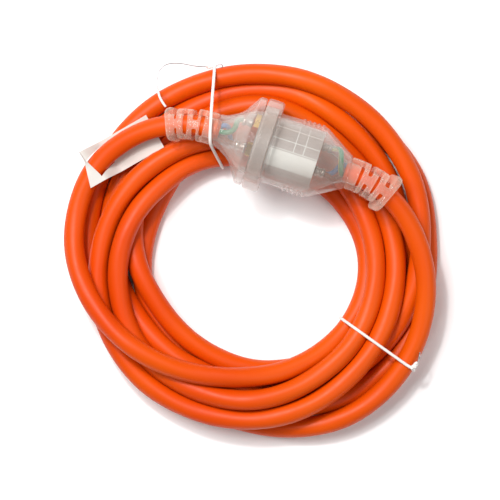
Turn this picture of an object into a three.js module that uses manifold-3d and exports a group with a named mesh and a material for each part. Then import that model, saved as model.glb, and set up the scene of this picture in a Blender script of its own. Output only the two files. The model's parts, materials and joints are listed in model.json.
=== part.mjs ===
// A 3 m orange extension lead, coiled, with its clear plug pushed into its own clear socket.
// Millimetres, +Z up. The origin is on the floor, at the middle of the coil.
// The plug and socket share one level axis, and are modelled along +X of a turned group:
// s is the distance along that axis, from plug to socket, and t is level, away from the coil's middle.

import * as THREE from "three";
import { mergeVertices } from "three/addons/utils/BufferGeometryUtils.js";
import Module from "manifold-3d";

// Driving dimensions
const GAP = 0.3;
const CORD_R = 5;
const CORE_R = 1.4;
const TRAVEL = 25; // how far the socket pulls off the plug

const COIL = { innerR: 44, outerR: 92.5, height: 20, edgeR: 8 };
const MATE = { x: 4.2, y: 52.5, z: 33.5, turn: -18 }; // where s = 0 is, and the axis's turn in degrees

const PIN = { width: 6.35, thick: 1.6, root: -5, face: 4.7, sleeveEnd: 13.2, neckW: 5.35, neckT: 1 };
const PINS = [
  { name: "active", t: -3.97, z: 6.85, turn: 30, tip: 21.7, crimpT: -3.97, crimpZ: 6.85 },
  { name: "neutral", t: -3.97, z: -6.85, turn: -30, tip: 21.7, crimpT: -3.97, crimpZ: -6.85 },
  { name: "earth", t: 10.3, z: 0, turn: 0, tip: 24.7, crimpT: 8.4, crimpZ: 0 },
];

const PLUG = { back: -21.5, sheathEnd: -20, discR: 22, discFront: -2, bossR: 18.6, seatR: 15.6 };
const BRIDGE = { back: -2.4, radius: 15.3 }; // the round carrier that holds the pins
const SOCKET = { front: -1.7, flangeR: 22.7, recessR: 19, face: 5, sheathEnd: 43.9, end: 45.4 };
const INSERT = { radius: 15.3, end: 29.4, contactEnd: 28.9 };
const CRIMP = { outerR: 2.2, innerR: 1.7, length: 5 };

// The strain reliefs are bent sleeves: u runs from the moulding to the open end.
const RELIEF = { length: 24.2, width: 15.6, height: 14, cornerR: 4, boreR: 5.4 };
const RELIEF_RING = { from: 21.2, height: 16, plugWidth: 16.6, socketWidth: 20.6 };
const RELIEF_BEND = { side: 5.2, drop: 4.5 }; // how far its open end is off the plug's axis
const RELIEF_SLOTS = [[5.4, 7], [14.5, 15.9]]; // open above and below, joined at the sides
const RELIEF_NECKS = [[9.4, 11.6], [18.8, 21]]; // open at the sides, joined above and below
const RELIEF_WEB = 2.2; // half the width of what joins a neck

const PLUG_LEAD_STEPS = 18;
const SOCKET_LEAD_STEPS = 16;
const TIE_R = 0.65;
const TIE_GROOVES = [[-16, 68, 94.5], [55.8, -39.8, -35.5]]; // x, y and turn of each tie's groove
const LABEL = { width: 18, thick: 0.4, from: [-46.35, 59.05], turn: 209.3 };

// Colours
const ORANGE = 0xf25518;
const CLEAR = 0xd8cdc8;
const FROSTED = 0xe9edea;
const BRASS = 0xc9a95a;
const COPPER = 0xb87333;
const CORE_COLOURS = { active: 0x7a4a2a, neutral: 0x3a78b8, earth: 0x2fa56a };
const BLACK = 0x202020;
const WHITE = 0xf2f0ea;

const wasm = await Module();
wasm.setup();

const part = new THREE.Group();
const mated = new THREE.Group();
mated.position.set(MATE.x, MATE.y, MATE.z);
mated.rotation.z = THREE.MathUtils.degToRad(MATE.turn);
part.add(mated);
part.updateMatrixWorld(true);

// ---- Tools ----

// A geometry as a solid that can be joined and cut.
function solid(geometry) {
  const bare = new THREE.BufferGeometry();
  bare.setAttribute("position", geometry.getAttribute("position"));
  bare.setIndex(geometry.index);
  const merged = mergeVertices(bare, 1e-4);
  const index = Array.from(merged.index.array);
  const faces = [];
  for (let i = 0; i < index.length; i += 3) {
    const [a, b, c] = index.slice(i, i + 3);
    if (a !== b && b !== c && c !== a) faces.push(a, b, c);
  }
  const mesh = { numProp: 3, vertProperties: merged.attributes.position.array };
  return new wasm.Manifold(new wasm.Mesh({ ...mesh, triVerts: new Uint32Array(faces) }));
}

function geometryOf(made) {
  const mesh = made.getMesh();
  const geometry = new THREE.BufferGeometry();
  geometry.setAttribute("position", new THREE.BufferAttribute(mesh.vertProperties, 3));
  geometry.setIndex(new THREE.BufferAttribute(mesh.triVerts, 1));
  return geometry;
}

function cut(body, cutters) {
  return cutters.reduce((left, cutter) => left.subtract(solid(cutter)), solid(body));
}

function box(x0, x1, y0, y1, z0, z1) {
  const made = new THREE.BoxGeometry(x1 - x0, y1 - y0, z1 - z0);
  return made.translate((x0 + x1) / 2, (y0 + y1) / 2, (z0 + z1) / 2);
}

// A closed loop of [along, radius] points turned about the X axis.
function turned(points, segments) {
  const loop = points.map(([along, radius]) => new THREE.Vector2(radius, along));
  loop.push(loop[0]);
  return new THREE.LatheGeometry(loop, segments).rotateZ(-Math.PI / 2);
}

// Points round an arc, from one angle to another in degrees.
function arcPoints(x, y, radius, from, to, pieces) {
  return Array.from({ length: pieces + 1 }, (_, i) => {
    const angle = THREE.MathUtils.degToRad(from + ((to - from) * i) / pieces);
    return new THREE.Vector2(x + radius * Math.cos(angle), y + radius * Math.sin(angle));
  });
}

function circlePoints(radius, sides) {
  return arcPoints(0, 0, radius, 0, 360, sides).slice(1);
}

function roundedRectPoints(width, height, radius) {
  const x = width / 2 - radius;
  const y = height / 2 - radius;
  const corners = [[x, y, 0], [-x, y, 90], [-x, -y, 180], [x, -y, 270]];
  return corners.flatMap(([cx, cy, from]) => arcPoints(cx, cy, radius, from, from + 90, 2));
}

// A round bar along a curve.
function bar(curve, radius, sides, steps) {
  const round = new THREE.Shape(circlePoints(radius, sides));
  return new THREE.ExtrudeGeometry(round, { steps, extrudePath: curve, bevelEnabled: false });
}

function add(parent, name, geometry, colour, roughness = 0.45, metalness = 0) {
  const material = new THREE.MeshStandardMaterial({ color: colour, roughness, metalness });
  const mesh = new THREE.Mesh(geometry, material);
  mesh.name = name;
  parent.add(mesh);
}

function curveThrough(points) {
  return new THREE.CatmullRomCurve3(points.map((p) => new THREE.Vector3(...p)));
}

// ---- Strain reliefs ----

// A point u along the relief, v to its side and w above its middle, bent with it.
// dir is -1 on the plug, whose relief runs back along the axis, and 1 on the socket.
function bentPoint(u, v, w, start, dir) {
  const side = -dir * RELIEF_BEND.side;
  const off = Math.hypot(side, RELIEF_BEND.drop);
  const towards = [side / off, -RELIEF_BEND.drop / off];
  const bendR = RELIEF.length ** 2 / (2 * off);
  const angle = u / bendR;
  const inner = v * towards[0] + w * towards[1];
  const across = w * towards[0] - v * towards[1];
  const along = (bendR - inner) * Math.sin(angle);
  const out = bendR - (bendR - inner) * Math.cos(angle);
  const y = out * towards[0] - across * towards[1];
  const z = out * towards[1] + across * towards[0];
  return [start + dir * along, dir * y, z];
}

function bent(geometry, start, dir) {
  const at = geometry.getAttribute("position");
  for (let i = 0; i < at.count; i++)
    at.setXYZ(i, ...bentPoint(at.getX(i), at.getY(i), at.getZ(i), start, dir));
  return geometry;
}

// A straight sleeve from u = from to u = to, ready to bend.
function sleeve(from, to, width, height, steps) {
  const shape = new THREE.Shape(roundedRectPoints(width, height, RELIEF.cornerR));
  shape.holes.push(new THREE.Path(circlePoints(RELIEF.boreR, 16).reverse()));
  const made = new THREE.ExtrudeGeometry(shape, { depth: to - from, steps, bevelEnabled: false });
  made.rotateX(Math.PI / 2);
  made.rotateZ(Math.PI / 2);
  return made.translate(from, 0, 0);
}

function reliefGeometry(start, dir, ringWidth) {
  const high = 12; // clear of the sleeve all round
  const wide = 12;
  const cutters = [];
  for (const [from, to] of RELIEF_SLOTS)
    cutters.push(box(from, to, -RELIEF.boreR + 0.2, RELIEF.boreR - 0.2, -high, high));
  for (const [from, to] of RELIEF_NECKS) {
    cutters.push(box(from, to, RELIEF_WEB, wide, -high, high));
    cutters.push(box(from, to, -wide, -RELIEF_WEB, -high, high));
  }
  let made = solid(bent(sleeve(0, RELIEF.length, RELIEF.width, RELIEF.height, 6), start, dir));
  const ring = sleeve(RELIEF_RING.from, RELIEF.length, ringWidth, RELIEF_RING.height, 1);
  made = made.add(solid(bent(ring, start, dir)));
  for (const cutter of cutters) made = made.subtract(solid(bent(cutter, start, dir)));
  return geometryOf(made);
}

// ---- Plug ----

function plugMoulding() {
  const { back, discR, discFront, bossR, seatR } = PLUG;
  const flare = [[back, 8.1], [-20, 8], [-15.4, 10], [-12, 12.3], [-10, 14.2], [-8.3, 17.6], [-7, 19.6]];
  const disc = [[-5.6, discR], [discFront, discR]];
  const boss = [[discFront, bossR], [PIN.face, bossR], [PIN.face, seatR], [BRIDGE.back - GAP, seatR]];
  const chamber = [[-7.5, 14], [-10.8, 11.2], [-13.5, 9], [-16.5, 6.2], [-19, 5.4], [back, 5.4]];
  return turned([...flare, ...disc, ...boss, ...chamber], 32);
}

// The flat round carrier that the three pins are moulded in.
function pinBridge() {
  const { back, radius } = BRIDGE;
  const disc = new THREE.CylinderGeometry(radius, radius, PIN.face - back, 36);
  disc.rotateZ(Math.PI / 2).translate((PIN.face + back) / 2, 0, 0);
  return geometryOf(cut(disc, PINS.map((pin) => slotAt(pin, back - 1, PIN.face + 1, GAP))));
}

// A straight hole for a pin's blade, clear of it all round.
function slotAt(pin, from, to, clear) {
  const w = PIN.width / 2 + clear;
  const h = PIN.thick / 2 + clear;
  return atPin(box(from, to, -w, w, -h, h), pin);
}

function atPin(geometry, pin) {
  return geometry.rotateX(THREE.MathUtils.degToRad(pin.turn)).translate(0, pin.t, pin.z);
}

function pinBlade(pin) {
  const half = PIN.width / 2;
  const neck = PIN.neckW / 2;
  const start = PIN.face + 0.2;
  const end = PIN.sleeveEnd + 0.1;
  const side = [[PIN.root, half], [pin.tip - 1.2, half], [pin.tip, half - 1.4]];
  const outline = [...side, ...side.map(([s, w]) => [s, -w]).reverse()];
  const shape = new THREE.Shape(outline.map((p) => new THREE.Vector2(...p)));
  const blade = new THREE.ExtrudeGeometry(shape, { depth: PIN.thick, bevelEnabled: false });
  blade.translate(0, 0, -PIN.thick / 2);
  if (pin.name === "earth") return atPin(blade, pin);
  const out = 4;
  const flat = PIN.neckT / 2;
  const necked = cut(blade, [
    box(start, end, -out, out, flat, out),
    box(start, end, -out, out, -out, -flat),
    box(start, end, neck, out, -out, out),
    box(start, end, -out, -neck, -out, out),
  ]);
  return atPin(geometryOf(necked), pin);
}

// The insulating band round the neck of the active or neutral pin.
function pinSleeve(pin) {
  const w = PIN.width / 2;
  const h = PIN.thick / 2;
  const hollowW = PIN.neckW / 2 + 0.1;
  const hollowH = PIN.neckT / 2 + 0.1;
  const band = box(PIN.face + GAP, PIN.sleeveEnd, -w, w, -h, h);
  return atPin(geometryOf(cut(band, [box(0, 20, -hollowW, hollowW, -hollowH, hollowH)])), pin);
}

function crimp(from, t, z) {
  const { outerR, innerR, length } = CRIMP;
  const to = from + length;
  return turned([[from, outerR], [to, outerR], [to, innerR], [from, innerR]], 14).translate(0, t, z);
}

// A core fans out from its place in the sheath to its crimp. knots are [s, share of the way out].
function core(pin, knots) {
  const angle = Math.atan2(pin.crimpZ, pin.crimpT);
  const inside = 1.85;
  const points = knots.map(([s, share]) => {
    const t = THREE.MathUtils.lerp(inside * Math.cos(angle), pin.crimpT, share);
    const z = THREE.MathUtils.lerp(inside * Math.sin(angle), pin.crimpZ, share);
    return [s, t, z];
  });
  return bar(curveThrough(points), CORE_R, 8, 9);
}

function buildPlug() {
  const start = PLUG.sheathEnd + 2 * GAP;
  add(mated, "plug_moulding", plugMoulding(), CLEAR, 0.2);
  add(mated, "plug_pin_bridge", pinBridge(), FROSTED, 0.4);
  for (const pin of PINS) {
    add(mated, "pin_" + pin.name, pinBlade(pin), BRASS, 0.3, 1);
    if (pin.name !== "earth") add(mated, "pin_sleeve_" + pin.name, pinSleeve(pin), BLACK);
    add(mated, "plug_crimp_" + pin.name, crimp(-10.5, pin.crimpT, pin.crimpZ), COPPER, 0.35, 1);
    const knots = [[start, 0], [start + 2.2, 0.12], [-13.7, 0.75], [-11, 1], [-8, 1]];
    add(mated, "plug_core_" + pin.name, core(pin, knots), CORE_COLOURS[pin.name]);
  }
  const relief = reliefGeometry(PLUG.back - GAP, -1, RELIEF_RING.plugWidth);
  add(mated, "plug_strain_relief", relief, CLEAR, 0.25);
}

// ---- Socket ----

function socketMoulding() {
  const { front, flangeR, recessR, face, end } = SOCKET;
  const flange = [[front, 22], [front + 0.6, flangeR], [5.9, flangeR], [6.6, 22], [6.6, 17.2]];
  const ribs = [];
  for (let s = 17; s < 28; s += 2.4) ribs.push([s, 17.6], [s + 0.7, 18.5], [s + 1.7, 18.5]);
  const back = [[30, 17.4], [end, 8.2], [end, 5.4]];
  const chamber = [[43.3, 5.4], [40, 7.8], [36, 10.6], [33, 12.9], [INSERT.end + GAP, 15.6], [face, 15.6]];
  return turned([...flange, ...ribs, ...back, ...chamber, [face, recessR], [front, recessR]], 32);
}

// The frosted block behind the socket's face, with a slot and a contact chamber for each pin.
function socketInsert() {
  const { face } = SOCKET;
  const { radius, end } = INSERT;
  const block = new THREE.CylinderGeometry(radius, radius, end - face, 36);
  block.rotateZ(Math.PI / 2).translate((face + end) / 2, 0, 0);
  const holes = [];
  for (const pin of PINS) {
    holes.push(slotAt(pin, face - 1, face + 3, 0.4));
    holes.push(atPin(box(face + 2.4, end + 1, -3.5, 3.5, -2.2, 2.2), pin));
  }
  return geometryOf(cut(block, holes));
}

// Two spring leaves, one each side of the blade, joined at the back.
function contact(pin) {
  const from = SOCKET.face + 2.7;
  const to = INSERT.contactEnd;
  const fork = box(from, to, -3, 3, -1.9, 1.9);
  return atPin(geometryOf(cut(fork, [box(from - 1, to - 1.5, -4, 4, -1.1, 1.1)])), pin);
}

function buildSocket() {
  const start = SOCKET.sheathEnd - 2 * GAP;
  const crimpFrom = INSERT.end + GAP;
  const end = crimpFrom + CRIMP.length;
  add(mated, "socket_moulding", socketMoulding(), CLEAR, 0.2);
  add(mated, "socket_insert", socketInsert(), FROSTED, 0.5);
  for (const pin of PINS) {
    const middle = (start + end) / 2;
    const knots = [[start, 0], [start - 2.2, 0.1], [middle, 0.6], [end + 0.6, 1], [end - 2.5, 1]];
    add(mated, "contact_" + pin.name, contact(pin), BRASS, 0.3, 1);
    add(mated, "socket_crimp_" + pin.name, crimp(crimpFrom, pin.crimpT, pin.crimpZ), COPPER, 0.35, 1);
    add(mated, "socket_core_" + pin.name, core(pin, knots), CORE_COLOURS[pin.name]);
  }
  const relief = reliefGeometry(SOCKET.end + GAP, 1, RELIEF_RING.socketWidth);
  add(mated, "socket_strain_relief", relief, CLEAR, 0.25);
}

// ---- Cord ----

// The uncoiled ends, from inside a relief to where they bury themselves in the coil.
function leadCurve(sheathEnd, reliefStart, dir, beyond) {
  const inside = [[sheathEnd, 0, 0]];
  for (let u = 0; u <= RELIEF.length + 1; u += 5) inside.push(bentPoint(u, 0, 0, reliefStart, dir));
  const world = inside.map((p) => mated.localToWorld(new THREE.Vector3(...p)));
  const route = beyond.map((p) => new THREE.Vector3(...p));
  return new THREE.CatmullRomCurve3([...world, ...route]);
}

const plugLead = leadCurve(PLUG.sheathEnd, PLUG.back - GAP, -1, [
  [-50.7, 60.4, 27.6],
  [-63.6, 53.4, 27.2],
  [-75.1, 43.4, 25.8],
  [-81.8, 30.4, 21],
  [-84.4, 15.2, 14.5],
  [-83.2, 3, 10],
]);

const socketLead = leadCurve(SOCKET.sheathEnd, SOCKET.end + GAP, 1, [
  [77.6, 13.7, 26.6],
  [83, 0, 22.5],
  [84.2, -14.9, 15.5],
  [79.4, -27.3, 10],
]);

// The room a lead needs in the coil: its bar, fattened, and a little beyond its end.
function leadRoom(curve, steps) {
  const end = curve.getPointAt(1);
  const cap = new THREE.SphereGeometry(CORD_R + 2 * GAP, 10, 6).translate(end.x, end.y, end.z);
  return [bar(curve, CORD_R + GAP, 10, steps), cap];
}

// The coil's bundle of turns as one rounded ring, with room for everything that lies in it.
function coil() {
  const { innerR, outerR, height, edgeR } = COIL;
  const section = roundedRectPoints(outerR - innerR, height, edgeR);
  const loop = section.map((p) => new THREE.Vector2(p.x + (innerR + outerR) / 2, p.y + height / 2));
  loop.push(loop[0]);
  const ring = new THREE.LatheGeometry(loop, 48).rotateX(Math.PI / 2);
  const flange = [[-11, 0], [-11, 24], [7.6 + TRAVEL, 24], [7.6 + TRAVEL, 19.6]];
  const swept = [...flange, [31 + TRAVEL, 19.6], [47 + TRAVEL, 9.8], [47 + TRAVEL, 0]];
  const matedRoom = turned(swept, 32).applyMatrix4(mated.matrixWorld);
  const leads = [...leadRoom(plugLead, PLUG_LEAD_STEPS), ...leadRoom(socketLead, SOCKET_LEAD_STEPS)];
  const grooves = TIE_GROOVES.map(([x, y, turn]) => {
    const groove = box(-40, 40, -1.1, 1.1, -1, 2 * TIE_R + 0.6);
    return groove.rotateZ(THREE.MathUtils.degToRad(turn)).translate(x, y, 0);
  });
  return geometryOf(cut(ring, [matedRoom, ...leads, ...grooves]));
}

function buildCord() {
  add(part, "cord_coil", coil(), ORANGE, 0.5);
  add(part, "plug_lead", bar(plugLead, CORD_R, 10, PLUG_LEAD_STEPS), ORANGE, 0.5);
  add(part, "socket_lead", bar(socketLead, CORD_R, 10, SOCKET_LEAD_STEPS), ORANGE, 0.5);
}

// ---- Ties and label ----

// From its loose tail, over the plug's relief, down inside the coil, under it and up to the twist.
const TOP_TIE = [
  [-40.6, 74, 29],
  [-44.8, 79, 27],
  [-44.6, 85, 25],
  [-39, 90, 24],
  [-29, 91.4, 23],
  [-20, 91.2, 21.6],
  [-17.6, 88, 23],
  [-18.6, 78, 31.5],
  [-19.2, 70.2, 40],
  [-19.3, 61, 43],
  [-18.6, 51.8, 40],
  [-14.8, 44, 25],
  [-13.2, 40.6, 17],
  [-13.2, 40.2, 5],
  [-13.3, 40.9, 2.4],
  [-13.6, 43, 1],
  [-14, 46, 0.8],
  [-16, 66, 0.8],
  [-17.4, 86, 0.8],
  [-17.8, 89, 1],
  [-18.1, 91, 2.6],
  [-18.2, 91.5, 5],
  [-18.4, 91.5, 12],
  [-18.6, 91.6, 18.5],
];

// Round the bundle only: each point is [radius, height, degrees round the coil].
const BOTTOM_TIE = [
  [93, 21.5, -31],
  [94.2, 20, -33.2],
  [92, 20.8, -35.3],
  [84, 20.9, -35.5],
  [54, 20.9, -35.5],
  [45, 19, -35.5],
  [43, 13, -35.5],
  [43, 5, -35.5],
  [43.7, 2.4, -35.5],
  [46, 1, -35.5],
  [49, 0.8, -35.5],
  [68, 0.8, -35.5],
  [87, 0.8, -35.5],
  [90.5, 1, -35.5],
  [92.8, 2.4, -35.5],
  [93.4, 5, -35.5],
  [93.5, 12, -35.4],
  [93.5, 17.5, -35],
];

function onCoil([r, z, turn]) {
  const angle = THREE.MathUtils.degToRad(turn);
  return [r * Math.cos(angle), r * Math.sin(angle), z];
}

// A tag that the plug's lead is threaded through: the lead lies on it, then dips through its hole.
function label() {
  const { width, thick, from, turn } = LABEL;
  const rise = [[0, 20.5], [20, 20.6], [25, 22.6], [30, 27.2], [34, 31.6], [37, 32.9], [40.5, 33.2]];
  const under = rise.map(([u, z]) => new THREE.Vector2(u, z));
  const over = rise.map(([u, z]) => new THREE.Vector2(u, z + thick)).reverse();
  const profile = new THREE.Shape([...under, ...over]);
  const sheet = new THREE.ExtrudeGeometry(profile, { depth: width, bevelEnabled: false });
  sheet.rotateX(Math.PI / 2).translate(0, width / 2, 0);
  sheet.rotateZ(THREE.MathUtils.degToRad(turn)).translate(from[0], from[1], 0);
  return geometryOf(cut(sheet, leadRoom(plugLead, PLUG_LEAD_STEPS).slice(0, 1)));
}

function buildTrim() {
  add(part, "twist_tie_top", bar(curveThrough(TOP_TIE), TIE_R, 8, 50), WHITE, 0.5);
  add(part, "twist_tie_bottom", bar(curveThrough(BOTTOM_TIE.map(onCoil)), TIE_R, 8, 36), WHITE, 0.5);
  add(part, "label_tag", label(), WHITE, 0.7);
}

buildPlug();
buildSocket();
buildCord();
buildTrim();

export default part;
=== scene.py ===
"""A coiled orange extension lead, with its clear plug pushed into its own clear socket.

Lengths are in millimetres until a mesh is made, and meshes are in metres, in the CAD model's frame.
The plug and socket share one level axis: s runs along it from plug to socket, t is level and points
away from the coil's middle, and z is up.
"""

import json
import math

import bpy
import numpy as np
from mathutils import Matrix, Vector


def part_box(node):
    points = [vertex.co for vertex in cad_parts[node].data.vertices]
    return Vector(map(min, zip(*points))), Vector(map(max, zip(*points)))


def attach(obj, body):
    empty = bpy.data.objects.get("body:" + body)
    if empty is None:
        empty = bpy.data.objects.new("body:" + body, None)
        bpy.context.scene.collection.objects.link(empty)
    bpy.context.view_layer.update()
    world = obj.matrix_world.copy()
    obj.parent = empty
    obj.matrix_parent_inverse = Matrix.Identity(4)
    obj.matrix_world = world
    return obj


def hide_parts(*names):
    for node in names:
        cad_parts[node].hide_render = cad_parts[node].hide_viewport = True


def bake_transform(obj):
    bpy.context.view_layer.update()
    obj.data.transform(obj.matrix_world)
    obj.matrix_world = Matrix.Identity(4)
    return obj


MM = 0.001

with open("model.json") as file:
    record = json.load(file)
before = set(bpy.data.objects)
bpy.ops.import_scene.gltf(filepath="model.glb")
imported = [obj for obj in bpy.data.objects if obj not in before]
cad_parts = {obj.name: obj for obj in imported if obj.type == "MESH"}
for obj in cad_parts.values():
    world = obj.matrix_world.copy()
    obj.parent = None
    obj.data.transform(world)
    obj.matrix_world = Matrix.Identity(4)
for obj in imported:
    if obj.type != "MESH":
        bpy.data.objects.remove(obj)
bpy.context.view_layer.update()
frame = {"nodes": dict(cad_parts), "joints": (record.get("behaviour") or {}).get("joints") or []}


# ---- The frame that everything is placed in ----


def cad_box_mm(node):
    low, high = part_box(node)
    return np.array(low) / MM, np.array(high) / MM


CORD_R = 5.0
AXIS = np.array(frame["joints"][0]["axis"], float)
UP = np.array([0.0, 0.0, 1.0])
SIDE = np.cross(UP, AXIS)
BRIDGE_MIDDLE_S = 1.15  # where the middle of the pin carrier is along the axis
ORIGIN = sum(cad_box_mm("plug_pin_bridge")) / 2 - BRIDGE_MIDDLE_S * AXIS

PLUG_RELIEF_S = -21.8  # where each strain relief starts
SOCKET_RELIEF_S = 45.7
RELIEF_LENGTH = 24.2
RELIEF_SIDE = 5.2  # how far a relief's open end is off the axis, sideways and down
RELIEF_DROP = 4.5


def local(s, t, z):
    return ORIGIN + s * AXIS + t * SIDE + z * UP


def bent(u, v, w, start, way):
    """A point u along a strain relief, v to its side and w above its middle, bent with it.
    way is -1 on the plug, whose relief runs back along the axis, and 1 on the socket."""
    side = -way * RELIEF_SIDE
    off = math.hypot(side, RELIEF_DROP)
    toward = (side / off, -RELIEF_DROP / off)
    bend_r = RELIEF_LENGTH**2 / (2 * off)
    angle = u / bend_r
    inner = v * toward[0] + w * toward[1]
    across = w * toward[0] - v * toward[1]
    along = (bend_r - inner) * math.sin(angle)
    out = bend_r - (bend_r - inner) * math.cos(angle)
    t = out * toward[0] - across * toward[1]
    z = out * toward[1] + across * toward[0]
    return local(start + way * along, way * t, z)


# ---- Camera ----


def add_camera():
    view_width = 0.245  # what the picture takes in, at the height of the coil's middle
    distance = 1.6
    coil_middle = 0.015
    camera = bpy.data.objects.new("camera", bpy.data.cameras.new("camera"))
    camera.data.lens = camera.data.sensor_width * (distance - coil_middle) / view_width
    camera.location = (0, 0.00098, distance)
    bpy.context.scene.collection.objects.link(camera)
    bpy.context.scene.camera = camera


add_camera()


# ---- Curves ----


def spline(points, step):
    """Points a step apart on a smooth curve through the given points: a natural cubic by chord length."""
    p = np.asarray(points, float)
    h = np.linalg.norm(np.diff(p, axis=0), axis=1)
    knots = np.r_[0, np.cumsum(h)]
    n = len(p)
    rows = np.eye(n)
    slopes = np.zeros_like(p)
    for i in range(1, n - 1):
        rows[i, i - 1 : i + 2] = h[i - 1], 2 * (h[i - 1] + h[i]), h[i]
        slopes[i] = 6 * ((p[i + 1] - p[i]) / h[i] - (p[i] - p[i - 1]) / h[i - 1])
    m = np.linalg.solve(rows, slopes)
    u = np.linspace(0, knots[-1], 20 * n)
    i = np.clip(np.searchsorted(knots, u, side="right") - 1, 0, n - 2)
    a = (knots[i + 1] - u)[:, None]
    b = (u - knots[i])[:, None]
    c = h[i][:, None]
    fine = (m[i] * a**3 + m[i + 1] * b**3) / (6 * c)
    fine += (p[i] / c - m[i] * c / 6) * a + (p[i + 1] / c - m[i + 1] * c / 6) * b
    return evenly(fine, step)


def evenly(points, step):
    run = np.r_[0, np.cumsum(np.linalg.norm(np.diff(points, axis=0), axis=1))]
    at = np.linspace(0, run[-1], max(2, round(run[-1] / step) + 1))
    return np.stack([np.interp(at, run, points[:, k]) for k in range(3)], axis=1)


def smoothed(points, passes):
    made = points.copy()
    for _ in range(passes):
        made[1:-1] = 0.25 * made[:-2] + 0.5 * made[1:-1] + 0.25 * made[2:]
    return made


# ---- The cord's route ----

# From the plug to the socket: degrees turned, distance from the coil's middle, and height.
# The heights say which turn lies over which, and settle() works out how they really lie.
TURNS = [
    (124, 74.5, 29), (130, 79, 28), (140, 83, 27.5), (150, 86.5, 26.5), (160, 87.5, 25),
    (170, 87, 23), (180, 86, 22), (190, 83, 23), (200, 79.5, 26), (210, 76.2, 28), (220, 73, 30),
    (230, 69.5, 28), (240, 67, 25), (250, 64, 22), (260, 62.5, 19), (270, 61.3, 17),
    (280, 61.7, 14), (290, 60.9, 11), (300, 61.5, 8), (320, 61.7, 5.5), (340, 61, 5),
    (350, 59.9, 5), (360, 58.4, 5), (370, 57, 5), (380, 54.5, 5), (390, 52.5, 5), (398, 51.1, 5),
    (420, 48.5, 5), (450, 48.5, 5), (472, 52.8, 6), (480, 53.7, 9), (490, 55, 15), (500, 54.6, 15),
    (510, 57, 13.6), (520, 59, 15), (530, 61, 18), (540, 63.5, 21), (550, 65.5, 18), (560, 67, 15),
    (570, 69.5, 17), (580, 71, 20), (590, 72, 17), (600, 72, 14), (610, 72, 10), (620, 72, 10),
    (630, 72, 13), (640, 71, 15), (650, 70, 14), (660, 68.5, 14), (680, 67, 15), (700, 64.5, 13.6),
    (720, 61.9, 13), (740, 59.5, 12.5), (750, 58.5, 11.5), (760, 58.5, 9), (780, 58.5, 6),
    (800, 58.5, 5), (820, 58.5, 9), (831, 59, 14.8), (840, 60.5, 14.8), (850, 62, 14.5),
    (860, 64, 14), (870, 67, 13.6), (880, 69, 13.6), (890, 71.5, 13.6), (900, 73.5, 13.6),
    (910, 75.5, 14), (920, 77.3, 15), (930, 78, 15), (940, 79, 15), (950, 79.8, 15),
    (970, 80.8, 15), (990, 81.5, 14), (1010, 80.5, 15), (1030, 78, 15), (1050, 76, 14),
    (1070, 73, 15), (1080, 72, 14.1), (1090, 70, 13), (1100, 69, 11), (1120, 68.5, 7),
    (1140, 68.5, 9), (1160, 68.5, 15), (1170, 68.5, 14.8), (1188, 68, 6), (1200, 66.5, 5),
    (1210, 65, 5), (1230, 61.5, 5), (1243, 59.5, 9), (1260, 56.5, 14.4), (1270, 55.5, 14.4),
    (1280, 52.7, 14), (1300, 52.8, 12.7), (1320, 54.6, 12), (1340, 58.3, 7), (1350, 60.3, 5),
    (1360, 60.9, 5), (1380, 63.8, 5), (1400, 69.5, 5), (1420, 73.5, 5), (1440, 75.1, 5),
    (1457, 75.3, 5), (1480, 76.3, 6), (1490, 76.5, 10), (1500, 76.7, 14.6), (1520, 77.5, 12.3),
    (1530, 78, 8), (1550, 77, 5), (1565, 76, 5), (1580, 74.5, 5), (1594, 73, 5), (1608, 71, 5),
    (1620, 68.5, 5), (1637, 65.7, 6), (1655, 63.9, 12), (1670, 64, 14), (1690, 63, 14.7),
    (1700, 64.5, 14), (1710, 68.5, 14.8), (1720, 74.5, 13), (1730, 81, 8), (1740, 86, 5),
    (1760, 88.5, 5), (1780, 87.9, 5), (1792, 87, 5), (1800, 86.5, 5), (1820, 89.4, 5),
    (1830, 89.4, 5), (1844, 86.7, 5), (1860, 81, 5), (1880, 71, 5), (1890, 66, 5), (1910, 58, 5),
    (1929, 53.9, 5), (1940, 51.9, 5), (1950, 52.1, 5), (1960, 52.4, 5), (1970, 53.4, 5),
    (1980, 54.5, 5), (1990, 56.4, 5), (2000, 57.2, 5), (2020, 58.6, 5), (2050, 61, 5),
    (2080, 68.5, 5), (2100, 74.5, 5), (2120, 79.5, 5), (2130, 81, 6), (2140, 82.5, 9),
    (2150, 83.5, 12), (2160, 84, 14.6), (2180, 87.2, 15), (2200, 87.8, 15), (2210, 87.2, 18),
    (2220, 86.2, 18), (2230, 85.8, 16), (2250, 86, 14), (2270, 85.6, 12), (2285, 85.7, 7),
    (2297, 85.2, 5), (2314, 83, 5), (2328, 81, 5), (2340, 79.5, 5), (2347, 78.5, 5),
    (2360, 78.2, 5), (2380, 78.9, 5), (2400, 80.4, 5), (2420, 81.5, 5), (2430, 84, 5),
    (2440, 87.5, 5), (2450, 90.5, 5), (2460, 92.7, 11), (2470, 94.1, 11), (2480, 93.8, 13),
    (2490, 93, 14), (2500, 90.4, 15), (2510, 87.5, 18), (2520, 83.5, 24.6), (2530, 79, 26),
    (2540, 74, 29),
]
KNOT_DEGREES = 10
FREE_TURNS = (141, 2524)  # where the cord comes out of the plug's bend and runs into the socket's
ROUTE_STEP = 4.0
SHEATH_ENDS = (-20.2, 44.1)  # s of the cord's two cut ends, inside the clear mouldings


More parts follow.
